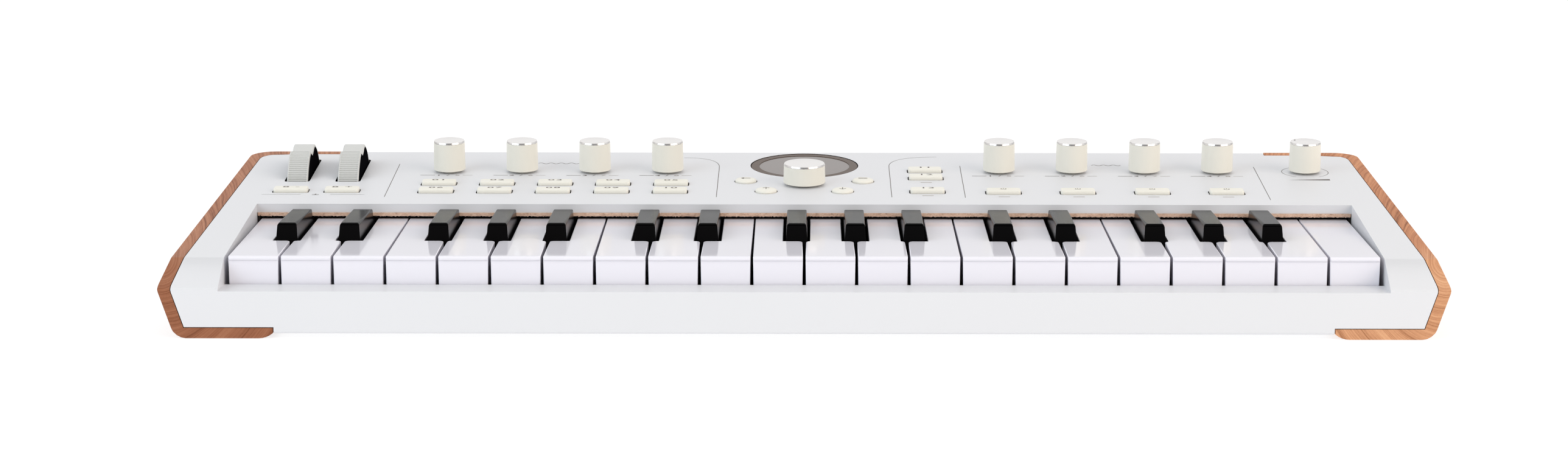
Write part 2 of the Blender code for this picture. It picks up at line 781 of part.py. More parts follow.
def make_wheels(parts):
    """The pitch and modulation wheels, each with its axle, standing on edge through the panel."""
    half = WHEEL_WIDTH / 2
    side = [
        (0.0, AXLE_REACH),
        (AXLE_RADIUS, AXLE_REACH),
        (AXLE_RADIUS, half - 1.0),
        (WHEEL_RADIUS - 5.0, half - 1.0),
        (WHEEL_RADIUS - 4.0, half),
        (WHEEL_RADIUS, half - 0.3),
    ]
    profile = side + [(radius, -height) for radius, height in reversed(side)]
    for name, x in zip(("pitch_wheel", "modulation_wheel"), WHEEL_X):
        matrix = on_panel(x, WHEEL_S, -WHEEL_DEPTH) @ Matrix.Rotation(math.radians(90), 4, "Y")
        finish(turned(name, profile, 32, parts, matrix), "dark_plastic")


def make_buttons(name, plate, caps, parts, helpers):
    """Button caps moulded on one carrier plate under the panel; caps are (outline, top) pairs."""
    carrier = prism(name, plate, "Z", CARRIER_BOTTOM, CARRIER_TOP, parts, on_panel())
    group = bpy.data.collections.new(name + "_caps")
    group.hide_render = True
    helpers.children.link(group)
    for outline, top in caps:
        cap = prism(name + "_cap", outline, "Z", CARRIER_BOTTOM + 0.4, top, group, on_panel())
        round_edges(cap, 0.5, 1, lambda middle, way: abs(middle.z - top) < 0.01)
    boolean(carrier, "UNION", group)
    finish(carrier, "button_plastic")


def rectangular_caps(places):
    return [(rounded_rectangle(place_of_cap, BUTTON_SIZE, 1.0, 2), BUTTON_TOP) for place_of_cap in places]


def rectangle(left, front, right, back):
    return [(left, front), (right, front), (right, back), (left, back)]


def make_all_buttons(parts, helpers):
    make_buttons(
        "octave_buttons", rectangle(-237, 18, -195, 31), rectangular_caps(OCTAVE_BUTTONS), parts, helpers
    )
    make_buttons(
        "preset_buttons", rectangle(-173, 17, -49.5, 44), rectangular_caps(preset_places()), parts, helpers
    )
    function_plate = [(45.5, 16.5), (197, 16.5), (197, 29), (63.5, 29), (63.5, 70), (45.5, 70)]
    make_buttons("function_buttons", function_plate, rectangular_caps(function_places()), parts, helpers)
    half_plate = [(12, 31), (20, 50), (32.5, 50), (32.5, 37), (22.5, 17.5)]
    navigation_plate = half_plate + [(-x, s) for x, s in reversed(half_plate)]
    round_caps = [
        (arc(place_of_cap, ROUND_RADIUS, 0, 360 * 19 / 20, 19), ROUND_TOP)
        for place_of_cap in NAVIGATION_BUTTONS
    ]
    make_buttons("navigation_buttons", navigation_plate, round_caps, parts, helpers)


def make_display(parts):
    """The round display module: a raised ring round a window that sits a little lower."""
    profile = [
        (0.0, -1.0),
        (DISPLAY_GLASS, -1.0),
        (DISPLAY_GLASS + 0.4, -0.5),
        (DISPLAY_RADIUS - 0.3, -0.5),
        (DISPLAY_RADIUS, -0.8),
        (DISPLAY_RADIUS, BOARD_TOP + 0.5),
        (0.0, BOARD_TOP + 0.5),
    ]
    finish(turned("display", profile, 48, parts, on_panel(0.0, DISPLAY_S)), "display_glass")


def make_panel_board(parts, helpers):
    """The board under the panel, with a bored encoder body for each knob's shaft."""
    side = WELL_HALF - 2
    wheels = BRACKET_X[2] + 2
    outline = [
        (-side, 5.5),
        (side, 5.5),
        (side, 92.5),
        (wheels, 92.5),
        (wheels, 36),
        (-side, 36),
    ]
    board = prism("panel_board", outline, "Z", BOARD_BOTTOM, BOARD_TOP, parts, on_panel())
    encoders = bpy.data.collections.new("encoders")
    bores = bpy.data.collections.new("encoder_bores")
    for collection in (encoders, bores):
        collection.hide_render = True
        helpers.children.link(collection)
    half = ENCODER_SIDE / 2
    for x, s in knob_places() + [(0.0, DIAL_S)]:
        low = (x - half, s - half, BOARD_TOP - 0.5)
        box("encoder", low, (x + half, s + half, ENCODER_TOP), encoders, on_panel())
        cylinder("encoder_bore", SHAFT_RADIUS + 0.4, BOARD_TOP + 0.2, 0, 12, bores, on_panel(x, s))
    boolean(board, "UNION", encoders)
    boolean(board, "DIFFERENCE", bores)
    finish(board, "circuit_board")


def main():
    clear_scene()
    parts = new_collection("synthesizer")
    helpers = new_collection("cutters", helper=True)
    blacks = black_places()
    make_top_case(parts, helpers)
    make_bottom_case(parts, helpers)
    make_cheeks(parts, helpers)
    make_key_frame(parts)
    make_white_keys(parts, helpers, blacks)
    make_black_keys(parts, helpers, blacks)
    make_knobs(parts)
    make_wheels(parts)
    make_all_buttons(parts, helpers)
    make_display(parts)
    make_panel_board(parts, helpers)


main()
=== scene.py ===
"""The looks of the synthesizer: finer pieces, materials, floor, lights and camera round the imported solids.

Sizes and places are in millimetres, and MM turns them into metres where a mesh is made. Places on the
control panel are (x, s, h): s runs back along the tilted panel from its front edge, h stands square to it.
"""

import json
import math

import bmesh
import bpy
from mathutils import Matrix, Vector, noise


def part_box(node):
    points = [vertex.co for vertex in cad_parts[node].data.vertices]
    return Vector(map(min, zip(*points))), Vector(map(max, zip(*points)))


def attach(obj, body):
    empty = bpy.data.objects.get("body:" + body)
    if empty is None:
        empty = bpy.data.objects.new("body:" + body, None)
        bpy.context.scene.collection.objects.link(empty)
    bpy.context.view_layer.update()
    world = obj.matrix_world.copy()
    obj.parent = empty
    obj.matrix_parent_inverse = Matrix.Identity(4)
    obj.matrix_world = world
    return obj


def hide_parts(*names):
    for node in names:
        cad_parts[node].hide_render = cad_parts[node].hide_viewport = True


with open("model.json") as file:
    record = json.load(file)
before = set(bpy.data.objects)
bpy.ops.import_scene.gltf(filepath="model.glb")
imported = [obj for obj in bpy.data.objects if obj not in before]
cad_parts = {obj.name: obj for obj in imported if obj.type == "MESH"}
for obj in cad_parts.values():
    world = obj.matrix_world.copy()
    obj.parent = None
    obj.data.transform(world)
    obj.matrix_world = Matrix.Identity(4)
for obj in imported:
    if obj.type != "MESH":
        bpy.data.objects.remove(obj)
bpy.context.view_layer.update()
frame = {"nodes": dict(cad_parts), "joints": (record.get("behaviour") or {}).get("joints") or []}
NODES = frame["nodes"]
JOINTS = {joint["child"]: joint for joint in frame["joints"]}

MM = 0.001
CASE = "case"

# The control panel: its front edge, and the way it faces, which is the way that every knob's axis points.
PANEL_Y = 4.4
PANEL_Z = 37.64
PANEL_UP = Vector(JOINTS["master_knob"]["axis"])
PANEL_TILT = math.atan2(-PANEL_UP.y, PANEL_UP.z)

# The wooden ends: the axis that their growth rings run round, how far the rings stray from their circles, the
# place and depth over which the end grain at the front gives way to the long grain, how much that slants, and
# the farthest that the seam with the case gets from the middle.
WOOD_AXIS_X = 262.0
WOOD_AXIS_Z = 29.0
RING_STRAY = 4.0
END_GRAIN_Y = -89.0
END_GRAIN_FADE = (END_GRAIN_Y - 8.0, END_GRAIN_Y + 22.0)
GRAIN_SLANT = 0.1
SEAM_X = 258.6

# How much edges are rounded: the case's, the wooden ends' outside, and the ends' along the seam.
CASE_EDGE = 0.25
CHEEK_EDGE = 0.9
SEAM_EDGE = 0.3

# How much painted shade darkens the left end's wood against the right end's, along its side and at its front.
LEFT_SIDE_PAINTED_SHADE = (0.77, 0.79, 0.93)
LEFT_FRONT_PAINTED_SHADE = (0.50, 0.39, 0.38)

# Keys: their pitch, front and top, the height of the lip and how far the front steps back under it, how much
# the sides draw in beside the black keys, downwards and towards the back, the roundings, the notch for a
# black key, the top of the hollow inside, and the area over which a face is kept exactly flat.
KEY_PITCH = 21.58
KEY_FRONT_Y = -90.0
KEY_TOP = 31.0
KEY_LIP = 1.6
KEY_STEP = 0.09
KEY_INSET = 0.19
KEY_TAPER = 0.013
KEY_FLARE = 0.006
KEY_FRONT_CORNER = 0.5
KEY_EDGE = 0.3
BLACK_KEY_EDGE = 0.4
NOTCH_Y = -51.6
NOTCH_CORNER = 2.2
WEB_TOP = 26.0
KEY_FLAT_AREA = 20.0

# The key well's half width, and the felt strip and the dark sheet at its back, which is painted shade for the
# dark inside behind the keys.
WELL_HALF = 238.7
FELT_FRONT = 3.9
FELT_FOOT = 4.6
FELT_BACK = 6.6
FELT_LOW = 32.15
FELT_TOP = 33.85
SHADE_SHEET_FRONT = 4.2
SHADE_SHEET_Y = (7.7, 8.3)
SHADE_SHEET_Z = (27.8, 33.8)

# Knobs, whose metal caps are a little narrower. A turned shape starts and ends a hair from its axis.
NEAR_AXIS = 0.02
CAP_INSET = 0.18
KNOB_RADIUS = 7.15
KNOB_TOP = 14.5
DIAL_RADIUS = 9.35
DIAL_TOP = 9.9
SHAFT_RADIUS = 3.0
SHAFT_BOTTOM = -6.5

# Wheels. Going back over the top, the flutes end at the lip's angle and the finger recess at the hump's, both
# in degrees from the top, and the recess is deepest at a share of the way between them. The flutes' pitch is
# in degrees too.
WHEEL_RADIUS = 23.8
WHEEL_HALF_WIDTH = 4.7
WHEEL_STEPS = 1080
WHEEL_LIP = 18.0
WHEEL_HUMP = 21.0
RECESS_DEPTH = 3.1
RECESS_MIDDLE = 0.38
FLUTE_PITCH = 8 / 3
FLUTE_COUNT = 26
FLUTE_DEPTH = 0.6
CORE_INSET = 1.15
CORE_PROUD = 0.06
AXLE_RADIUS = 2.5
AXLE_REACH = 11.0
WHEEL_X = (-227.1, -204.4)
SLOT_WIDTH = 11.2
SLOT_S = (42.0, 86.4)
SLOT_CORNER = 1.5

# Buttons, and the plates that carry them.
PLATE_BOTTOM = -4.2
PLATE_TOP = -3.0
CAP_FOOT = -3.8
BUTTON_SIZE = (15.1, 6.5)
BUTTON_CORNER = 1.2
BUTTON_TOP = 1.6
ROUND_RADIUS = 4.8
ROUND_TOP = 1.3
OCTAVE_BUTTONS = ((-227.2, 24.2), (-204.6, 24.2))
PRESET_BUTTONS = [(x, s) for s in (38.1, 23.3) for x in (-163.0, -137.1, -111.2, -85.35, -59.45)]
MODE_BUTTONS = [(54.5, s) for s in (63.9, 49.7, 23.8)]
EFFECT_S = 22.4
BACK_BUTTONS = ((-26.2, 43.7), (26.2, 43.7))
ARROW_BUTTONS = ((-16.95, 24.4), (16.95, 24.4))

# The display: its middle, its hole in the panel, its bezel and its window.
DISPLAY_S = 75.5
DISPLAY_HOLE = 24.52
BEZEL_RADIUS = 24.25
WINDOW_RADIUS = 20.5
ROUND_STEPS = 128

# Print: how far the ink stands over the surface, the widths of its lines, the sizes of its numerals and how
# they are stretched, and where the numbers and bars of the knobs are.
INK_HEIGHT = 0.03
CAP_INK_HEIGHT = 0.06
FRAME_LINE = 0.28
FINE_LINE = 0.22
WAVE_LINE = 0.45
ARROW_LINE = 0.4
MARK_LINE = 0.36
PALE_BAR = 0.9
NUMBER_SIZE = 3.0
LEGEND_SIZE = 3.6
NUMERAL_STRETCH = (1.7, 0.9)
NUMBER_S = 54.8
BAR_S = 54.9
BAR_WIDTH = 0.55

# The sockets in the back, each with its share of the full size, and the radii of a full-size one.
SOCKETS = ((-190.0, 1.0), (-165.0, 1.0), (-140.0, 1.0), (-115.0, 1.0), (-88.0, 0.62), (-72.0, 0.62))
SOCKET_Z = 22.0
NUT_RADIUS = 5.6
SLEEVE_RADIUS = 4.2
PLUG_RADIUS = 3.15
SOCKET_STEPS = 48

# The room: how bright it is, and the way from the instrument to its dark patch.
ROOM_GLOW = 0.86
BACK_GLOW = 1.02
DARK_WAY = (0.0, -0.90, 0.436)

# The floor, a little under the instrument: its left, front, right and back, and how much it shines by itself.
FLOOR_EDGES = (-6000.0, -4000.0, 6000.0, 9000.0)
FLOOR_Z = -0.05
FLOOR_GLOW = 0.78
FLOOR_TONE = (0.32, 0.32, 0.32)

# The camera: its place in metres, its tilt up from looking straight down and its roll, both in degrees, its
# focal length and its sideways shift.
CAMERA_PLACE = (0.0, -1.5672, 0.2912)
CAMERA_TILT = 80.395
CAMERA_ROLL = 0.08
CAMERA_LENS = 83.79
CAMERA_SHIFT = -0.01293


def on_panel(x=0.0, s=0.0, h=0.0):
    """The matrix, in metres, that stands local Z square to the panel at a place on it."""
    panel = Matrix.Translation((0.0, PANEL_Y * MM, PANEL_Z * MM)) @ Matrix.Rotation(PANEL_TILT, 4, "X")
    return panel @ Matrix.Translation((x * MM, s * MM, h * MM))


def panel_place(body):
    """The (x, s) of the place where the axis of a knob's joint meets the panel."""
    local = on_panel().inverted() @ Vector(JOINTS[body]["pos_m"])
    return local.x / MM, local.y / MM


# ---------------------------------------------------------------- materials


def add_node(tree, kind, inputs=None, **settings):
    """A shader node with its settings made and its inputs set or wired."""
    made = tree.nodes.new("ShaderNode" + kind)
    for name, value in settings.items():
        setattr(made, name, value)
    for socket, value in (inputs or {}).items():
        if isinstance(value, bpy.types.NodeSocket):
            tree.links.new(value, made.inputs[socket])
        else:
            made.inputs[socket].default_value = value
    return made


def new_material(name, **plain):
    """A material with its plain numbers set on the shader, its tree, and its shader."""
    made = bpy.data.materials.new(name)
    made.use_nodes = True
    shader = made.node_tree.nodes["Principled BSDF"]
    for socket, value in plain.items():
        shader.inputs[socket.replace("_", " ")].default_value = value
    return made, made.node_tree, shader


def object_point(tree):
    return add_node(tree, "TexCoord").outputs["Object"]


def noise_value(tree, point, scale, detail=2.0, roughness=0.5, distortion=0.0):
    inputs = {
        "Vector": point,
        "Scale": scale,
        "Detail": detail,
        "Roughness": roughness,
        "Distortion": distortion,
    }
    return add_node(tree, "TexNoise", inputs).outputs["Fac"]


def math_value(tree, operation, first, second=0.0):
    return add_node(tree, "Math", {0: first, 1: second}, operation=operation).outputs[0]


def spread(tree, value, low, high, start=0.0, end=1.0):
    """A value from start to end turned into one from low to high."""
    inputs = {"Value": value, "From Min": start, "From Max": end, "To Min": low, "To Max": high}
    return add_node(tree, "MapRange", inputs).outputs["Result"]


def ramp(tree, value, stops):
    """Colours at their places along a value from 0 to 1."""
    made = add_node(tree, "ValToRGB", {"Fac": value})
    elements = made.color_ramp.elements
    while len(elements) < len(stops):
        elements.new(0.5)
    for element, (place, colour) in zip(elements, stops):
        element.position = place
        element.color = (*colour, 1.0)
    return made.outputs["Color"]


def tinted(tree, colour, factor):
    """A colour made lighter or darker by a value round 1."""
    inputs = {0: colour, "Scale": factor}
    return add_node(tree, "VectorMath", inputs, operation="SCALE").outputs["Vector"]


def stretched(tree, point, scale):
    return add_node(tree, "Mapping", {"Vector": point, "Scale": scale}).outputs["Vector"]


def bump(tree, height, depth):
    """A normal from a height, whose full swing stands for a depth in millimetres."""
    return add_node(tree, "Bump", {"Height": height, "Distance": depth * MM}).outputs["Normal"]


def plastic(name, colour, roughness, grain=0.006, grain_size=0.35, drift=0.03, **plain):
    """Moulded plastic: a fine grain, and a slow drift in its tone and gloss."""
    made, tree, shader = new_material(name, **plain)
    point = object_point(tree)
    slow = noise_value(tree, point, 22.0, 3.0)
    fine = noise_value(tree, point, 1.0 / (grain_size * MM), 2.0, 0.6)
    tone = spread(tree, slow, 1.0 - drift, 1.0 + drift)
    tree.links.new(tinted(tree, colour, tone), shader.inputs["Base Color"])
    gloss = math_value(tree, "ADD", spread(tree, slow, -0.04, 0.04), spread(tree, fine, -0.03, 0.03))
    tree.links.new(math_value(tree, "ADD", gloss, roughness), shader.inputs["Roughness"])
    tree.links.new(bump(tree, fine, grain), shader.inputs["Normal"])
    return made


def wood_material():
    """Oiled wood: growth rings round an axis along the cheek, end grain at the front, and painted shade on
    the left end.
    """
    made, tree, shader = new_material("wood", Specular_IOR_Level=0.12)
    point = object_point(tree)
    split = add_node(tree, "SeparateXYZ", {"Vector": point})
    depth = split.outputs["Y"]
    width = math_value(tree, "ABSOLUTE", split.outputs["X"])
    across = math_value(tree, "SUBTRACT", width, WOOD_AXIS_X * MM)
    up = math_value(tree, "SUBTRACT", split.outputs["Z"], WOOD_AXIS_Z * MM)
    across_squared = math_value(tree, "MULTIPLY", across, across)
    up_squared = math_value(tree, "MULTIPLY", up, up)
    radius = math_value(tree, "SQRT", math_value(tree, "ADD", across_squared, up_squared))
    wander = noise_value(tree, stretched(tree, point, (24.0, 11.0, 24.0)), 1.0, 3.0, 0.5)
    drifted = math_value(tree, "ADD", radius, spread(tree, wander, -RING_STRAY * MM, RING_STRAY * MM))
    behind = math_value(tree, "SUBTRACT", depth, END_GRAIN_Y * MM)
    behind = math_value(tree, "MAXIMUM", behind, 0.0)
    drifted = math_value(tree, "ADD", drifted, math_value(tree, "MULTIPLY", behind, GRAIN_SLANT))
    sheet = add_node(tree, "CombineXYZ", {"X": drifted, "Y": depth, "Z": width})
    rings = noise_value(tree, stretched(tree, sheet.outputs[0], (1500.0, 9.0, 30.0)), 1.0, 3.0, 0.6)
    bands = noise_value(tree, stretched(tree, sheet.outputs[0], (260.0, 6.0, 14.0)), 1.0, 1.0)
    fibre = noise_value(tree, stretched(tree, point, (1500.0, 60.0, 1500.0)), 1.0, 2.0, 0.6)
    fine_lines = spread(tree, rings, -0.06, 0.74, 0.30, 0.72)
    broad_lines = spread(tree, bands, 0.0, 0.36, 0.3, 0.7)
    grain = math_value(tree, "ADD", fine_lines, broad_lines)
    grain = math_value(tree, "ADD", grain, spread(tree, fibre, -0.07, 0.07, 0.25, 0.75))
    end_grain = (
        (0.0, (0.76, 0.44, 0.25)),
        (0.4, (0.64, 0.325, 0.175)),
        (0.75, (0.50, 0.235, 0.12)),
        (1.0, (0.33, 0.14, 0.065)),
    )
    long_grain = (
        (0.0, (0.70, 0.33, 0.16)),
        (0.4, (0.55, 0.235, 0.11)),
        (0.75, (0.42, 0.165, 0.076)),
        (1.0, (0.25, 0.10, 0.047)),
    )
    at_end = spread(tree, depth, 1.0, 0.0, END_GRAIN_FADE[0] * MM, END_GRAIN_FADE[1] * MM)
    colours = {0: at_end, 6: ramp(tree, grain, long_grain), 7: ramp(tree, grain, end_grain)}
    colour = add_node(tree, "Mix", colours, data_type="RGBA").outputs[2]
    # Painted shade: the left end's wood is darkened, more at its front than along its side.
    on_left = spread(tree, split.outputs["X"], 1.0, 0.0, -MM, MM)
    painted_shade = ramp(tree, at_end, ((0.0, LEFT_SIDE_PAINTED_SHADE), (1.0, LEFT_FRONT_PAINTED_SHADE)))
    shaded_mix = {0: on_left, 6: colour, 7: painted_shade}
    colour = add_node(tree, "Mix", shaded_mix, data_type="RGBA", blend_type="MULTIPLY").outputs[2]
    tree.links.new(colour, shader.inputs["Base Color"])
    tree.links.new(spread(tree, grain, 0.45, 0.6), shader.inputs["Roughness"])
    tree.links.new(bump(tree, fibre, 0.02), shader.inputs["Normal"])
    return made


def spun_metal():
    """Turned and polished aluminium with a slow drift in its gloss."""
    made, tree, shader = new_material("knob_cap", Metallic=1.0)
    point = object_point(tree)
    soft = noise_value(tree, point, 150.0, 2.0)
    fine = noise_value(tree, point, 2600.0, 2.0, 0.6)
    tone = spread(tree, soft, 0.98, 1.02)
    tree.links.new(tinted(tree, (0.79, 0.765, 0.75), tone), shader.inputs["Base Color"])
    tree.links.new(spread(tree, soft, 0.13, 0.19), shader.inputs["Roughness"])
    tree.links.new(bump(tree, fine, 0.0006), shader.inputs["Normal"])
    return made


def felt_material():
    """Felt: soft tufts and fine hair, pale on the crests, with painted shade that browns the hollows."""
    made, tree, shader = new_material("felt", Sheen_Weight=0.6, Sheen_Roughness=0.5)
    point = object_point(tree)
    tufts = noise_value(tree, stretched(tree, point, (500.0, 900.0, 900.0)), 1.0, 4.0, 0.7)
    hair = noise_value(tree, stretched(tree, point, (2200.0, 900.0, 4200.0)), 1.0, 2.0, 0.7)
    coarse = spread(tree, tufts, 0.0, 0.6, 0.2, 0.8)
    mix = math_value(tree, "ADD", coarse, spread(tree, hair, 0.0, 0.4, 0.2, 0.8))
    # The ramp follows the bump's tufts: the brown at its low end is painted shade in the hollows, the middle
    # and pale end are the felt's own tone.
    stops = ((0.15, (0.24, 0.12, 0.08)), (0.45, (0.72, 0.46, 0.32)), (0.9, (0.95, 0.74, 0.60)))
    tree.links.new(ramp(tree, mix, stops), shader.inputs["Base Color"])
    shader.inputs["Roughness"].default_value = 0.95
    tree.links.new(bump(tree, mix, 0.4), shader.inputs["Normal"])
    return made


MATERIALS = {
    "white_plastic": plastic("white_plastic", (0.704, 0.706, 0.73), 0.42, grain=0.006, drift=0.006),
    "key_white": plastic(
        "key_white",
        (0.81, 0.795, 0.86),
        0.09,
        grain=0.001,
        grain_size=2.0,
        drift=0.006,
        Specular_IOR_Level=0.35,
    ),
    "key_black": plastic(
        "key_black", (0.003, 0.0028, 0.003), 0.2, grain=0.001, grain_size=1.5, Specular_IOR_Level=0.04
    ),
    "cream_plastic": plastic("cream_plastic", (0.785, 0.76, 0.685), 0.38, grain=0.003, drift=0.008),
    "button_plastic": plastic("button_plastic", (0.81, 0.785, 0.71), 0.42, grain=0.003, drift=0.01),
    "wheel_grey": plastic("wheel_grey", (0.605, 0.605, 0.59), 0.45, grain=0.006, grain_size=0.25),
    "dark_plastic": plastic("dark_plastic", (0.004, 0.004, 0.005), 0.5, grain=0.004, Specular_IOR_Level=0.0),
    "display_glass": plastic(
        "display_glass",
        (0.21, 0.185, 0.175),
        0.12,
        grain=0.0004,
        grain_size=6.0,
        drift=0.01,
        Specular_IOR_Level=0.1,
    ),
    "display_ring": plastic(
        "display_ring", (0.074, 0.042, 0.025), 0.16, grain=0.0006, grain_size=3.0, Specular_IOR_Level=0.05
    ),
    "circuit_board": plastic("circuit_board", (0.02, 0.12, 0.05), 0.45, grain=0.02, grain_size=1.2),
    "print_ink": plastic("print_ink", (0.13, 0.11, 0.10), 0.6, grain=0.002, drift=0.06),
    "print_pale": plastic("print_pale", (0.42, 0.385, 0.365), 0.6, grain=0.002, drift=0.06),
    # Dark rubber for the socket nuts, and painted shade for the sheet behind the keys, the gap walls and the
    # socket holes.
    "rubber_dark": plastic(
        "rubber_dark", (0.02, 0.016, 0.015), 0.7, grain=0.02, grain_size=0.5, Specular_IOR_Level=0.1
    ),
    "socket_metal": plastic("socket_metal", (0.62, 0.61, 0.6), 0.3, grain=0.003, Metallic=1.0),
    "wood": wood_material(),
    "knob_cap": spun_metal(),
    "felt": felt_material(),
}


# ---------------------------------------------------------------- meshes


def piece(name, bm, finish, body=CASE, stands_for=(), sharp=35.0, flat_over=None):
    """A mesh made an object with smooth shading up to an angle, riding on its body.

    Faces over an area in square millimetres can be kept exactly flat.
    """
    mesh = bpy.data.meshes.new(name)
    bm.to_mesh(mesh)
    bm.free()
    mesh.shade_smooth()
    mesh.set_sharp_from_angle(angle=math.radians(sharp))
    if flat_over is not None:
        for face in mesh.polygons:
            face.use_smooth = face.area < flat_over * MM * MM
    mesh.materials.append(MATERIALS[finish])
    obj = bpy.data.objects.new(name, mesh)
    bpy.context.scene.collection.objects.link(obj)
    weighted = obj.modifiers.new("Flat faces stay flat", "WEIGHTED_NORMAL")
    weighted.keep_sharp = True
    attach(obj, body)
    if stands_for:
        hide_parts(*stands_for)
    return obj


def refined(node, flat=0.5):
    """A copy of a CAD solid's surface with its triangles joined again into flat faces."""
    bm = bmesh.new()
    bm.from_mesh(NODES[node].data)
    bmesh.ops.remove_doubles(bm, verts=bm.verts, dist=1e-6)
    bmesh.ops.dissolve_limit(bm, angle_limit=math.radians(flat), verts=bm.verts, edges=bm.edges)
    return bm


def round_off(bm, radius, steps=2, sharper=40.0, pick=None, clamp=True):
    """Round the convex edges that are sharper than an angle and pass the test."""
    edges = []
    for edge in bm.edges:
        if not edge.is_manifold or not edge.is_convex or edge.calc_face_angle() < math.radians(sharper):
            continue
        if pick is None or pick(edge):
            edges.append(edge)
    bmesh.ops.bevel(
        bm, geom=edges, offset=radius * MM, segments=steps, profile=0.5, affect="EDGES", clamp_overlap=clamp
    )


def arc(centre, radius, start, end, steps):
    """Points round a centre from one angle to another, in degrees, both ends included."""
    angles = [math.radians(start + (end - start) * i / steps) for i in range(steps + 1)]
    return [(centre[0] + radius * math.cos(a), centre[1] + radius * math.sin(a)) for a in angles]


def circle(centre, radius, count):
    """Points spaced evenly all the way round."""
    return arc(centre, radius, 0, 360 * (count - 1) / count, count - 1)


def rectangle(left, front, right, back):
    """An anticlockwise outline from its four sides."""
    return [(left, front), (right, front), (right, back), (left, back)]


def rounded_rectangle(centre, size, radius, steps=6):
    """An anticlockwise outline with round corners."""
    half_x = size[0] / 2 - radius
    half_y = size[1] / 2 - radius
    points = []
    for turn, (sign_x, sign_y) in enumerate(((1, 1), (-1, 1), (-1, -1), (1, -1))):
        corner = (centre[0] + sign_x * half_x, centre[1] + sign_y * half_y)
        points += arc(corner, radius, 90 * turn, 90 * turn + 90, steps)
    return points


def add_layers(bm, rings, matrix):
    """Skin over rings of points, each a list of (x, y, z) in millimetres, closed at both ends."""
    layers = []
    for ring in rings:
        layers.append([bm.verts.new(matrix @ (Vector(point) * MM)) for point in ring])
    for below, above in zip(layers, layers[1:]):
        for i in range(len(below)):
            bm.faces.new((below[i - 1], below[i], above[i], above[i - 1]))
    bm.faces.new(list(reversed(layers[0])))
    bm.faces.new(layers[-1])


def add_prism(bm, outline, low, high, matrix=Matrix.Identity(4)):
    """An anticlockwise outline raised from one height to another."""
    add_layers(bm, [[(x, y, z) for x, y in outline] for z in (low, high)], matrix)


def add_cap(bm, outlines, matrix):
    """Stacked outlines, each at its own height, such as a button's wall, rim and crown."""
    add_layers(bm, [[(x, y, z) for x, y in outline] for outline, z in outlines], matrix)


def add_turned(bm, profile, steps, matrix):
    """A closed profile of (radius, height), from the bottom of the axis to its top, turned round local Z."""
    turns = [2 * math.pi * i / steps for i in range(steps)]
    rings = []
    for radius, height in profile:
        rings.append([(radius * math.cos(turn), radius * math.sin(turn), height) for turn in turns])
    add_layers(bm, rings, matrix)


def shrunk(outline, centre, share_x, share_y):
    """An outline drawn in towards a point."""
    return [
        (centre[0] + (x - centre[0]) * share_x, centre[1] + (y - centre[1]) * share_y)
        for x, y in outline
    ]


# ---------------------------------------------------------------- the case and its ends


def make_case():
    """The white shell and the bottom, with a fine rounding along their edges."""
    for name in ("top_case", "bottom_case"):
        bm = refined(name)
        round_off(bm, CASE_EDGE, 2, sharper=60.0)
        piece(name + "_shell", bm, "white_plastic", stands_for=(name,))


def is_outside_seam(edge):
    """A test for the edges that reach farther out than the seam between a cheek and the case."""
    return max(abs(vert.co.x) for vert in edge.verts) > SEAM_X * MM


def make_cheeks():
    """The wooden ends, softly rounded outside and crisper along the seam with the case."""
    for name in ("cheek_left", "cheek_right"):
        bm = refined(name)
        round_off(bm, CHEEK_EDGE, 3, 22.0, is_outside_seam)
        round_off(bm, SEAM_EDGE, 2, 50.0)
        piece(name + "_wood", bm, "wood", stands_for=(name,))


def make_felt():
    """The strip of felt under the panel's lip, ragged along its lower edge."""
    bm = bmesh.new()
    count = 900
    gap = 0.3
    rings = []
    for i in range(count + 1):
        x = -WELL_HALF + gap + (2 * WELL_HALF - 2 * gap) * i / count
        fray = 0.35 * noise.noise((x * 1.7, 0.0, 3.0)) + 0.3 * noise.noise((x * 5.1, 7.0, 0.0))
        swell = 0.15 * noise.noise((x * 0.9, 5.0, 1.0))
        front = FELT_FRONT + swell
        low = FELT_LOW + fray
        ring = [(front, low + 0.3), (FELT_FOOT, low), (FELT_BACK, low + 0.2)]
        ring += [(FELT_BACK, FELT_TOP), (front, FELT_TOP)]
        rings.append([(x, y, z) for y, z in ring])
    add_layers(bm, rings, Matrix.Identity(4))
    bmesh.ops.recalc_face_normals(bm, faces=bm.faces)
    piece("felt_strip", bm, "felt")


def make_shade_sheet():
    """A dark sheet across the back of the key well, folded forward at its ends: painted shade for the dark
    inside behind the keys.
    """
    bm = bmesh.new()
    inner = WELL_HALF - 1.2
    outer = WELL_HALF - 0.1
    near, far = SHADE_SHEET_Y
    half = [(inner, near), (inner, SHADE_SHEET_FRONT), (outer, SHADE_SHEET_FRONT), (outer, far)]
    outline = [(-x, y) for x, y in reversed(half)] + half
    add_prism(bm, outline, *SHADE_SHEET_Z)
    piece("painted_shade_sheet", bm, "rubber_dark")


# ---------------------------------------------------------------- keys


def is_key_corner(edge, y):
    """A test for the upright outer edges of a key at a depth, over the hollow inside it."""
    first, second = (vert.co for vert in edge.verts)
    lean = math.hypot(first.x - second.x, first.y - second.y)
    if abs(first.z - second.z) < 3 * lean or max(first.z, second.z) < WEB_TOP * MM:
        return False
    return abs(first.y - y * MM) < 0.5 * MM


def is_above(edge, height):
    """A test for the edges that lie wholly over a height."""
    return min(vert.co.z for vert in edge.verts) > height * MM


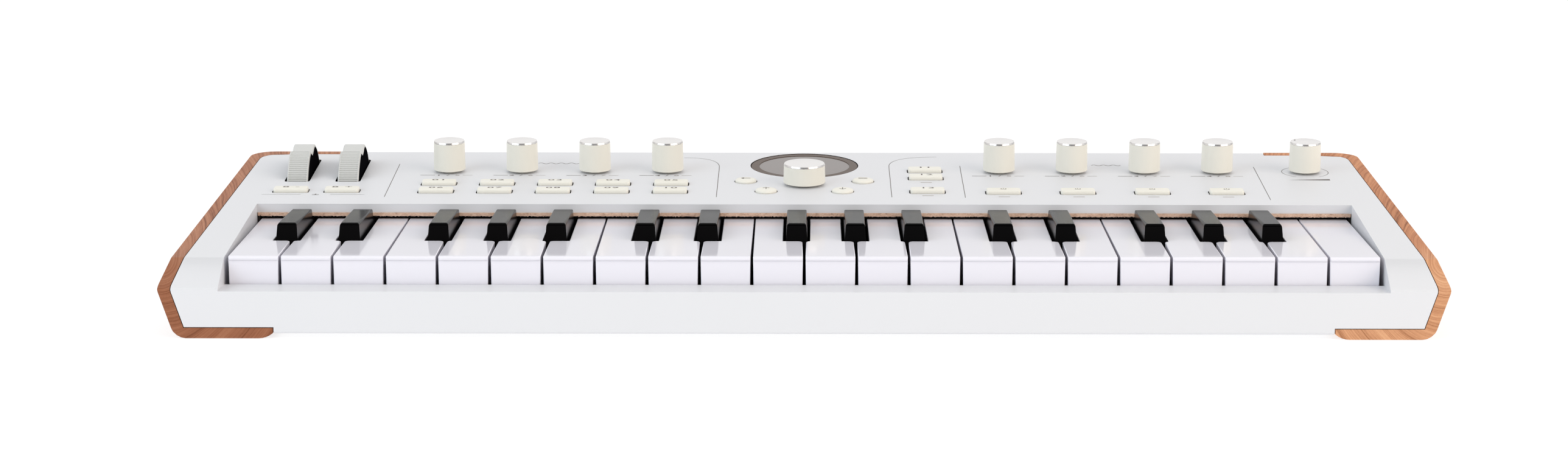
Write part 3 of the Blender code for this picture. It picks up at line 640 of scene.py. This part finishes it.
def make_white_key(name):
    """A key with a lip round its front, a rounded corner beside each black key, and soft edges."""
    bm = refined(name)
    low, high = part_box(name)
    middle = (low.x + high.x) / 2
    for height in (KEY_TOP - KEY_LIP, KEY_TOP - KEY_LIP - 0.3):
        geometry = list(bm.verts) + list(bm.edges) + list(bm.faces)
        bmesh.ops.bisect_plane(bm, geom=geometry, plane_co=(0, 0, height * MM), plane_no=(0, 0, 1), dist=1e-7)
    for vert in bm.verts:
        drop = KEY_TOP * MM - vert.co.z
        if vert.co.y < (KEY_FRONT_Y + 0.4) * MM and drop > (KEY_LIP + 0.1) * MM:
            vert.co.y += KEY_STEP * MM
        if abs(vert.co.x - middle) > (KEY_PITCH / 2 - 0.5) * MM:
            inset = KEY_TAPER * drop
            if vert.co.y < (NOTCH_Y + 1) * MM:
                inset += KEY_INSET * MM + KEY_FLARE * (vert.co.y - KEY_FRONT_Y * MM)
            vert.co.x += math.copysign(inset, middle - vert.co.x)
    round_off(bm, KEY_FRONT_CORNER, 3, 45.0, lambda edge: is_key_corner(edge, KEY_FRONT_Y), clamp=False)
    round_off(bm, NOTCH_CORNER, 5, 45.0, lambda edge: is_key_corner(edge, NOTCH_Y), clamp=False)
    round_off(bm, KEY_EDGE, 2, 50.0, lambda edge: is_above(edge, KEY_TOP - 0.1), clamp=False)
    piece(name + "_moulding", bm, "key_white", body=name, stands_for=(name,), flat_over=KEY_FLAT_AREA)


def make_black_key(name):
    """A key whose facets stay flat, with a fine rounding where they meet above the white keys."""
    bm = refined(name)
    round_off(bm, BLACK_KEY_EDGE, 3, 24.0, lambda edge: is_above(edge, KEY_TOP), clamp=False)
    piece(name + "_moulding", bm, "key_black", body=name, stands_for=(name,), flat_over=KEY_FLAT_AREA)


def make_keys():
    for name in sorted(NODES):
        if name.startswith("white_key"):
            make_white_key(name)
        elif name.startswith("black_key"):
            make_black_key(name)


# ---------------------------------------------------------------- knobs


def make_knob(body, radius, top):
    """A knob's cream body with its shaft and a groove near its foot, and the metal cap on its top."""
    rim = radius - CAP_INSET
    matrix = on_panel(*panel_place(body))
    bm = bmesh.new()
    profile = [
        (NEAR_AXIS, SHAFT_BOTTOM),
        (SHAFT_RADIUS, SHAFT_BOTTOM),
        (SHAFT_RADIUS, 1.1),
        (radius - 0.7, 1.1),
        (radius - 0.25, 1.0),
        (radius - 0.06, 1.12),
        (radius, 1.35),
        (radius - 0.01, 1.62),
        (radius - 0.07, 1.68),
        (radius - 0.07, 1.76),
        (radius - 0.01, 1.82),
        (rim, top - 1.05),
        (rim - 0.06, top - 1.0),
        (NEAR_AXIS, top - 1.0),
    ]
    add_turned(bm, profile, 96, matrix)
    piece(body + "_body", bm, "cream_plastic", body=body, stands_for=(body,), sharp=50.0)
    bm = bmesh.new()
    profile = [
        (NEAR_AXIS, top - 0.98),
        (rim - 0.03, top - 0.98),
        (rim, top - 0.92),
        (rim, top - 0.82),
        (rim - 0.24, top - 0.18),
        (rim - 0.45, top - 0.12),
        (rim - 3.2, top - 0.05),
        (NEAR_AXIS, top),
    ]
    add_turned(bm, profile, ROUND_STEPS, matrix)
    piece(body + "_cap", bm, "knob_cap", body=body, sharp=12.0)


def make_knobs():
    for body in sorted(NODES):
        if body.startswith(("instrument_knob", "effect_knob", "master_knob")):
            make_knob(body, KNOB_RADIUS, KNOB_TOP)
    make_knob("display_dial", DIAL_RADIUS, DIAL_TOP)


# ---------------------------------------------------------------- wheels


def tread_radius(angle, fluted):
    """The tread at an angle from the top: fine flutes, then a finger recess, then a smooth hump behind it."""
    crest = WHEEL_RADIUS - 0.1
    if angle <= -WHEEL_LIP:
        flute = (-angle - WHEEL_LIP) / FLUTE_PITCH
        if not fluted or flute > FLUTE_COUNT:
            return crest
        return crest - FLUTE_DEPTH * (1 - abs(math.sin(math.pi * flute)))
    share = (angle + WHEEL_LIP) / (WHEEL_LIP + WHEEL_HUMP)
    if share < RECESS_MIDDLE:
        return crest - RECESS_DEPTH * math.sin(math.pi / 2 * share / RECESS_MIDDLE)
    if share < 1.0:
        climb = (share - RECESS_MIDDLE) / (1 - RECESS_MIDDLE)
        return WHEEL_RADIUS - RECESS_DEPTH * (0.5 + 0.5 * math.cos(math.pi * climb))
    return WHEEL_RADIUS


def wheel_outline(inset, fluted=False):
    """The wheel seen from its end, in steps of a third of a degree, as (back, up)."""
    outline = []
    for i in range(WHEEL_STEPS):
        angle = 180.0 - 360 * i / WHEEL_STEPS
        radius = tread_radius(angle, fluted) - inset
        outline.append((radius * math.sin(math.radians(angle)), radius * math.cos(math.radians(angle))))
    return outline


def make_wheel(body):
    """A wheel's tread, with its rims rounded, and the dark core that shows at its sides, with the axle."""
    axle = Vector(JOINTS[body]["pos_m"])
    axle.x = sum(corner.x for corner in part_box(body)) / 2
    # Local X to the back, local Y up and local Z along the axle.
    stand = Matrix(((0, 0, 1, 0), (1, 0, 0, 0), (0, 1, 0, 0), (0, 0, 0, 1)))
    matrix = Matrix.Translation(axle) @ Matrix.Rotation(PANEL_TILT, 4, "X") @ stand
    half = WHEEL_HALF_WIDTH
    bm = bmesh.new()
    side = (
        (0.6, half, False),
        (0.15, half - 0.25, False),
        (0.0, half - 0.55, False),
        (0.0, half - 0.85, True),
    )
    layers = [(wheel_outline(inset, fluted), -height) for inset, height, fluted in side]
    layers += [(wheel_outline(inset, fluted), height) for inset, height, fluted in reversed(side)]
    add_cap(bm, layers, matrix)
    bmesh.ops.recalc_face_normals(bm, faces=bm.faces)
    piece(body + "_tread", bm, "wheel_grey", body=body, stands_for=(body,), sharp=50.0)
    bm = bmesh.new()
    add_prism(bm, wheel_outline(CORE_INSET), -half - CORE_PROUD, half + CORE_PROUD, matrix)
    axle_profile = [
        (NEAR_AXIS, -AXLE_REACH),
        (AXLE_RADIUS, -AXLE_REACH),
        (AXLE_RADIUS, AXLE_REACH),
        (NEAR_AXIS, AXLE_REACH),
    ]
    add_turned(bm, axle_profile, 32, matrix)
    bmesh.ops.recalc_face_normals(bm, faces=bm.faces)
    piece(body + "_core", bm, "dark_plastic", body=body, sharp=30.0)


# ---------------------------------------------------------------- buttons


def button_cap(centre):
    """A rectangular button's wall, rim and crown."""
    outline = rounded_rectangle(centre, BUTTON_SIZE, BUTTON_CORNER)
    shares = ((1.0, 1.0, CAP_FOOT), (1.0, 1.0, BUTTON_TOP - 0.8), (0.994, 0.985, BUTTON_TOP - 0.4))
    shares += ((0.98, 0.95, BUTTON_TOP - 0.14), (0.95, 0.89, BUTTON_TOP), (0.5, 0.4, BUTTON_TOP + 0.05))
    return [(shrunk(outline, centre, x, y), z) for x, y, z in shares]


def round_cap(centre):
    """A round button's wall and its domed top."""
    outline = circle(centre, ROUND_RADIUS, 48)
    dome = ((1.0, -0.95), (0.985, -0.68), (0.94, -0.42), (0.86, -0.22))
    dome += ((0.7, -0.06), (0.4, 0.04), (0.1, 0.06))
    layers = [(outline, CAP_FOOT)]
    layers += [(shrunk(outline, centre, share, share), ROUND_TOP + rise) for share, rise in dome]
    return layers


def add_gap_shade(bm, outline):
    """A dark wall in a hole in the panel, painted shade for the gap round what sits in it."""
    rows = []
    for height in (PLATE_TOP, -0.08):
        rows.append([bm.verts.new(on_panel() @ (Vector((x, s, height)) * MM)) for x, s in outline])
    for i in range(len(outline)):
        bm.faces.new((rows[0][i], rows[0][i - 1], rows[1][i - 1], rows[1][i]))


def make_gap_shade():
    """Painted shade: dark walls in the gaps round the buttons, the wheels and the display."""
    bm = bmesh.new()
    size = (BUTTON_SIZE[0] + 1.0, BUTTON_SIZE[1] + 0.8)
    for centre in [*OCTAVE_BUTTONS, *PRESET_BUTTONS, *MODE_BUTTONS, *effect_places()]:
        add_gap_shade(bm, rounded_rectangle(centre, size, BUTTON_CORNER))
    for centre in BACK_BUTTONS + ARROW_BUTTONS:
        add_gap_shade(bm, circle(centre, ROUND_RADIUS + 0.36, 48))
    add_gap_shade(bm, circle((0.0, DISPLAY_S), DISPLAY_HOLE, 144))
    slot_size = (SLOT_WIDTH, SLOT_S[1] - SLOT_S[0])
    for x in WHEEL_X:
        add_gap_shade(bm, rounded_rectangle((x, sum(SLOT_S) / 2), slot_size, SLOT_CORNER))
    piece("hole_gap_shade", bm, "rubber_dark")


def make_button_group(body, caps, plate):
    """The caps of one body on their carrier plate, as one moulding."""
    bm = bmesh.new()
    for cap in caps:
        add_cap(bm, cap, on_panel())
    add_prism(bm, plate, PLATE_BOTTOM, PLATE_TOP, on_panel())
    piece(body + "_moulding", bm, "button_plastic", body=body, stands_for=(body,), sharp=50.0)


def effect_places():
    """The places of the effect switches, each in front of its knob."""
    return [(panel_place(f"effect_knob_{i}")[0], EFFECT_S) for i in range(1, 5)]


def make_buttons():
    """The four groups of buttons, with their plates' outlines as (x, s)."""
    make_button_group("octave_buttons", map(button_cap, OCTAVE_BUTTONS), rectangle(-237, 18, -195, 31))
    make_button_group("preset_buttons", map(button_cap, PRESET_BUTTONS), rectangle(-173, 17, -49.5, 44))
    plate = [(45.5, 16.5), (197, 16.5), (197, 29), (63.5, 29), (63.5, 70), (45.5, 70)]
    make_button_group("function_buttons", map(button_cap, MODE_BUTTONS + effect_places()), plate)
    half_plate = [(-12, 31), (-20, 50), (-32.5, 50), (-32.5, 37), (-22.5, 17.5)]
    plate = half_plate + [(-x, s) for x, s in reversed(half_plate)]
    make_button_group("navigation_buttons", map(round_cap, BACK_BUTTONS + ARROW_BUTTONS), plate)


# ---------------------------------------------------------------- the display


def make_display():
    """The display's bezel, nearly flush with the panel, and the window let into it."""
    bm = bmesh.new()
    ring = [
        (NEAR_AXIS, -6.5),
        (BEZEL_RADIUS, -6.5),
        (BEZEL_RADIUS, -0.35),
        (BEZEL_RADIUS - 0.15, -0.2),
        (WINDOW_RADIUS + 0.05, -0.2),
        (WINDOW_RADIUS, -0.8),
        (NEAR_AXIS, -0.8),
    ]
    add_turned(bm, ring, ROUND_STEPS, on_panel(0, DISPLAY_S))
    piece("display_bezel", bm, "display_ring", stands_for=("display",), sharp=30.0)
    bm = bmesh.new()
    glass = [
        (NEAR_AXIS, -0.78),
        (WINDOW_RADIUS - 0.01, -0.78),
        (WINDOW_RADIUS + 0.02, -0.4),
        (NEAR_AXIS, -0.4),
    ]
    add_turned(bm, glass, ROUND_STEPS, on_panel(0, DISPLAY_S))
    piece("display_window", bm, "display_glass", sharp=30.0)


# ---------------------------------------------------------------- sockets in the back


def make_sockets():
    """Round sockets along the back: a dark nut, a metal sleeve in it, and a dark disc at the foot of the
    short bore, painted shade for a deep hole.
    """
    nuts = bmesh.new()
    sleeves = bmesh.new()
    bore = SLEEVE_RADIUS + 0.1
    nut = [(NEAR_AXIS, 0.02), (NUT_RADIUS, 0.02), (NUT_RADIUS, 0.9), (NUT_RADIUS - 0.4, 1.2)]
    nut += [(bore + 0.2, 1.2), (bore, 1.0), (bore, 0.1), (NEAR_AXIS, 0.1)]
    sleeve = [(NEAR_AXIS, 0.12), (SLEEVE_RADIUS, 0.12), (SLEEVE_RADIUS, 1.4), (SLEEVE_RADIUS - 0.3, 1.6)]
    sleeve += [(PLUG_RADIUS + 0.25, 1.6), (PLUG_RADIUS, 1.4), (PLUG_RADIUS, 0.3), (NEAR_AXIS, 0.3)]
    # Painted shade: a dark disc on the bore's floor stands for the shade down a deep hole.
    floor_radius = PLUG_RADIUS - 0.03
    hole = [(NEAR_AXIS, 0.32), (floor_radius, 0.32), (floor_radius, 0.4), (NEAR_AXIS, 0.4)]
    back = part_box("top_case")[1].y
    for x, scale in SOCKETS:
        place = Matrix.Translation((x * MM, back, SOCKET_Z * MM))
        matrix = place @ Matrix.Rotation(math.radians(-90), 4, "X")
        matrix = matrix @ Matrix.Diagonal((scale, scale, 1.0, 1.0))
        add_turned(nuts, nut, SOCKET_STEPS, matrix)
        add_turned(nuts, hole, SOCKET_STEPS, matrix)
        add_turned(sleeves, sleeve, SOCKET_STEPS, matrix)
    piece("socket_nuts", nuts, "rubber_dark", sharp=30.0)
    piece("socket_sleeves", sleeves, "socket_metal", sharp=30.0)


# ---------------------------------------------------------------- print on the panel and the caps


def add_line(bm, points, width, height):
    """A printed line of an even width along points on the panel, a hair above the surface."""
    left, right = [], []
    for i, (x, s) in enumerate(points):
        before = Vector(points[max(i - 1, 0)])
        after = Vector(points[min(i + 1, len(points) - 1)])
        way = (after - before).normalized()
        side = Vector((-way.y, way.x)) * width / 2
        left.append((x + side.x, s + side.y))
        right.append((x - side.x, s - side.y))
    matrix = on_panel()
    rows = [[bm.verts.new(matrix @ (Vector((x, s, height)) * MM)) for x, s in row] for row in (left, right)]
    for i in range(len(points) - 1):
        bm.faces.new((rows[1][i], rows[1][i + 1], rows[0][i + 1], rows[0][i]))


def curved(start, bend, end, steps=14):
    """A line that runs straight and then turns through a bend point to its end."""
    points = [start]
    for i in range(steps + 1):
        t = i / steps
        first = Vector(start).lerp(Vector(bend), 0.75).lerp(Vector(bend), t)
        second = Vector(bend).lerp(Vector(end), t)
        points.append(tuple(first.lerp(second, t)))
    return points


def add_text(bm, text, centre, size, height):
    """Numerals and signs as flat shapes lying on the panel, wider than they are tall."""
    curve = bpy.data.curves.new("numeral", "FONT")
    curve.body = text
    curve.align_x = "CENTER"
    curve.align_y = "CENTER"
    curve.size = size * MM
    curve.space_character = 1.15
    curve.offset = 0.01 * size * MM
    curve.resolution_u = 4
    guide = bpy.data.objects.new("numeral", curve)
    bpy.context.scene.collection.objects.link(guide)
    graph = bpy.context.evaluated_depsgraph_get()
    mesh = bpy.data.meshes.new_from_object(guide.evaluated_get(graph))
    bpy.data.objects.remove(guide)
    mesh.transform(on_panel(centre[0], centre[1], height) @ Matrix.Diagonal((*NUMERAL_STRETCH, 1.0, 1.0)))
    bm.from_mesh(mesh)
    bpy.data.meshes.remove(mesh)


def add_patch(bm, outline, height):
    """A filled shape printed on the panel, its outline anticlockwise."""
    bm.faces.new([bm.verts.new(on_panel() @ (Vector((x, s, height)) * MM)) for x, s in outline])


def wave(left, right, s, swing, turns):
    """Points along a wave from one place to another."""
    points = []
    for i in range(12 * turns + 1):
        share = i / (12 * turns)
        points.append((left + (right - left) * share, s + swing * math.sin(2 * math.pi * turns * share)))
    return points


def add_arrow(bm, centre, way, height):
    """A stroke with a head, pointing to the back for a way of 1 and to the front for -1."""
    x, s = centre
    head = [(x - 1.4, s + 0.2 * way), (x, s + 1.6 * way), (x + 1.4, s + 0.2 * way)]
    add_line(bm, [(x, s - 1.5 * way), (x, s + 1.4 * way)], ARROW_LINE, height)
    add_line(bm, head, ARROW_LINE, height)


def add_power(bm, centre, height):
    """A ring open at the back with a stroke through the opening."""
    x, s = centre
    add_line(bm, arc(centre, 1.15, 125, 415, 16), MARK_LINE, height)
    add_line(bm, [(x, s + 0.3), (x, s + 1.6)], MARK_LINE, height)


def make_panel_print():
    """Lines between the panel's fields, and the marks beside the controls, dark and pale."""
    ink = INK_HEIGHT
    bm = bmesh.new()
    lines = (
        [(-184.7, 13.2), (-184.7, 77.3)],
        curved((-38.7, 13.6), (-38.7, 90.8), (-55.3, 90.8)),
        curved((38.5, 13.6), (38.5, 93.0), (60.8, 93.0)),
        [(70.85, 13.0), (70.85, 74.8)],
        [(204.6, 9.7), (204.6, 73.5)],
        arc((226.75, 63.4), 10.5, -60, 240, 40),
    )
    for line in lines:
        add_line(bm, line, FRAME_LINE, ink)
    for ends in ((-239.3, -222.0), (-209.0, -193.9)):
        add_line(bm, [(x, 17.5) for x in ends], FINE_LINE, ink)
    add_text(bm, "\u00b1", (-215.5, 17.6), LEGEND_SIZE, ink)
    add_line(bm, wave(-121.5, -103.0, 79.0, 0.9, 4), WAVE_LINE, ink)
    add_line(bm, wave(131.0, 144.3, 76.5, 0.9, 3), WAVE_LINE, ink)
    add_patch(bm, [(217.0, 47.6), (236.0, 47.0), (236.0, 49.6)], ink)
    for group in ("instrument_knob", "effect_knob"):
        for i in range(1, 5):
            x = panel_place(f"{group}_{i}")[0]
            add_line(bm, [(x - 12.5, BAR_S), (x - 6.0, BAR_S)], BAR_WIDTH, ink)
            add_text(bm, f"{i} /", (x - 2.4, NUMBER_S), NUMBER_SIZE, ink)
    piece("panel_print", bm, "print_ink")
    bm = bmesh.new()
    for group in ("instrument_knob", "effect_knob"):
        for i in range(1, 5):
            x = panel_place(f"{group}_{i}")[0]
            add_text(bm, str(i + 4), (x + 4.2, NUMBER_S), NUMBER_SIZE, ink)
            add_line(bm, [(x + 6.6, BAR_S), (x + 11.0, BAR_S)], BAR_WIDTH, ink)
    for x, s in effect_places():
        add_line(bm, [(x - 2.5, s - 7.6), (x + 2.5, s - 7.6)], PALE_BAR, ink)
    for s in (42.1, 16.5):
        add_line(bm, [(52.0, s), (57.0, s)], PALE_BAR, ink)
    piece("panel_print_pale", bm, "print_pale")


def make_legends():
    """The marks on the caps, towards their back edges, and the pointer on the master knob."""
    top = BUTTON_TOP + CAP_INK_HEIGHT
    bm = bmesh.new()
    for number, (x, s) in enumerate(PRESET_BUTTONS, start=1):
        add_text(bm, f"{number:02d}", (x, s + 1.0), LEGEND_SIZE, top)
    piece("preset_legends", bm, "print_ink", body="preset_buttons")
    bm = bmesh.new()
    for (x, s), sign in zip(OCTAVE_BUTTONS, ("-", "+")):
        add_text(bm, "8 " + sign, (x, s + 1.0), LEGEND_SIZE, top)
    piece("octave_legends", bm, "print_ink", body="octave_buttons")
    bm = bmesh.new()
    for number, (x, s) in enumerate(MODE_BUTTONS, start=len(PRESET_BUTTONS) + 1):
        add_text(bm, f"{number:02d}", (x, s + 1.0), LEGEND_SIZE, top)
    for x, s in effect_places():
        add_power(bm, (x, s + 0.6), top)
    piece("function_legends", bm, "print_ink", body="function_buttons")
    bm = bmesh.new()
    top = ROUND_TOP + 0.1
    for (x, s), way in zip(ARROW_BUTTONS, (1, -1)):
        add_arrow(bm, (x, s + 0.6), way, top)
    (left, s), (right, _) = BACK_BUTTONS
    add_line(bm, [(left - 2.0, s + 0.6), (left + 2.0, s + 0.6)], 0.5, top)
    add_line(bm, [(left - 0.8, s + 1.8), (left - 2.0, s + 0.6), (left - 0.8, s - 0.6)], ARROW_LINE, top)
    for offset in (-0.1, 1.5):
        add_line(bm, [(right - 2.0, s + offset), (right + 2.0, s + offset)], MARK_LINE, top)
    piece("navigation_legends", bm, "print_ink", body="navigation_buttons")
    bm = bmesh.new()
    x, s = panel_place("master_knob")
    add_patch(bm, circle((x - 4.6, s + 2.6), 0.45, 18), KNOB_TOP + CAP_INK_HEIGHT)
    piece("master_pointer", bm, "print_ink", body="master_knob")


# ---------------------------------------------------------------- what the CAD nodes inside wear


def dress_inner_nodes():
    """Materials for the two nodes that have no finer piece."""
    for name, finish in (("key_frame", "dark_plastic"), ("panel_board", "circuit_board")):
        for slot in NODES[name].material_slots:
            slot.link = "OBJECT"
            slot.material = MATERIALS[finish]


# ---------------------------------------------------------------- floor, light and camera


def make_floor():
    """A sheet of paper that shines a little by itself, so that it looks as white as the room."""
    bm = bmesh.new()
    bm.faces.new([bm.verts.new((x * MM, y * MM, FLOOR_Z * MM)) for x, y in rectangle(*FLOOR_EDGES)])
    mesh = bpy.data.meshes.new("floor")
    bm.to_mesh(mesh)
    bm.free()
    made, tree, shader = new_material(
        "floor_paper", Roughness=0.9, Specular_IOR_Level=0.0, Emission_Strength=FLOOR_GLOW
    )
    tone = spread(tree, noise_value(tree, object_point(tree), 3.0), 0.985, 1.0)
    tree.links.new(tinted(tree, FLOOR_TONE, tone), shader.inputs["Base Color"])
    tree.links.new(tinted(tree, (1.0, 1.0, 1.0), tone), shader.inputs["Emission Color"])
    mesh.materials.append(made)
    floor = bpy.data.objects.new("floor", mesh)
    bpy.context.scene.collection.objects.link(floor)


def make_light(name, place, size, power, colour):
    """A soft box at a place in metres, aimed at the middle of the instrument."""
    light = bpy.data.lights.new(name, "AREA")
    light.shape = "RECTANGLE"
    light.size, light.size_y = size
    light.energy = power
    light.color = colour
    obj = bpy.data.objects.new(name, light)
    bpy.context.scene.collection.objects.link(obj)
    obj.location = place
    target = Vector((0.0, 0.0, 0.03))
    obj.rotation_euler = (target - obj.location).to_track_quat("-Z", "Y").to_euler()


def make_world():
    """A white room, bright above the horizon ahead, dim along it, and dark behind the camera."""
    world = bpy.data.worlds.new("studio")
    world.use_nodes = True
    tree = world.node_tree
    way = add_node(tree, "TexCoord").outputs["Generated"]
    split = add_node(tree, "SeparateXYZ", {"Vector": way})
    glow = spread(tree, split.outputs["Y"], ROOM_GLOW, BACK_GLOW, 0.1, 0.6)
    aside = spread(tree, split.outputs["Y"], 1.0, 0.0, 0.2, 0.6)
    horizon = spread(tree, split.outputs["Z"], 0.7, 1.0, 0.19, 0.26)
    dimmed = math_value(tree, "MULTIPLY", glow, math_value(tree, "MAXIMUM", aside, horizon))
    toward = add_node(tree, "VectorMath", {0: way, 1: DARK_WAY}, operation="DOT_PRODUCT").outputs["Value"]
    patch = spread(tree, toward, 1.0, 0.40, 0.80, 0.93)
    background = tree.nodes["Background"]
    background.inputs["Color"].default_value = (1.0, 1.0, 1.0, 1.0)
    tree.links.new(math_value(tree, "MULTIPLY", dimmed, patch), background.inputs["Strength"])
    bpy.context.scene.world = world


def make_lights():
    """A cooler soft box on the left and a warmer one on the right."""
    make_light("left_box", (-1.6, -1.25, 0.95), (2.0, 1.6), 17.0, (0.80, 0.93, 1.0))
    make_light("right_box", (1.6, -1.25, 0.95), (2.0, 1.6), 21.0, (1.0, 0.89, 0.77))


def make_camera():
    data = bpy.data.cameras.new("camera")
    data.lens = CAMERA_LENS
    data.shift_x = CAMERA_SHIFT
    data.clip_start = 0.01
    camera = bpy.data.objects.new("camera", data)
    bpy.context.scene.collection.objects.link(camera)
    stand = Matrix.Translation(CAMERA_PLACE)
    tilt = Matrix.Rotation(math.radians(CAMERA_TILT), 4, "X")
    roll = Matrix.Rotation(math.radians(CAMERA_ROLL), 4, "Z")
    camera.matrix_world = stand @ tilt @ roll
    bpy.context.scene.camera = camera
    bpy.context.scene.view_settings.view_transform = "Standard"


make_case()
make_cheeks()
make_felt()
make_shade_sheet()
make_keys()
make_knobs()
make_wheel("pitch_wheel")
make_wheel("modulation_wheel")
make_buttons()
make_gap_shade()
make_display()
make_sockets()
make_panel_print()
make_legends()
dress_inner_nodes()
make_floor()
make_world()
make_lights()
make_camera()
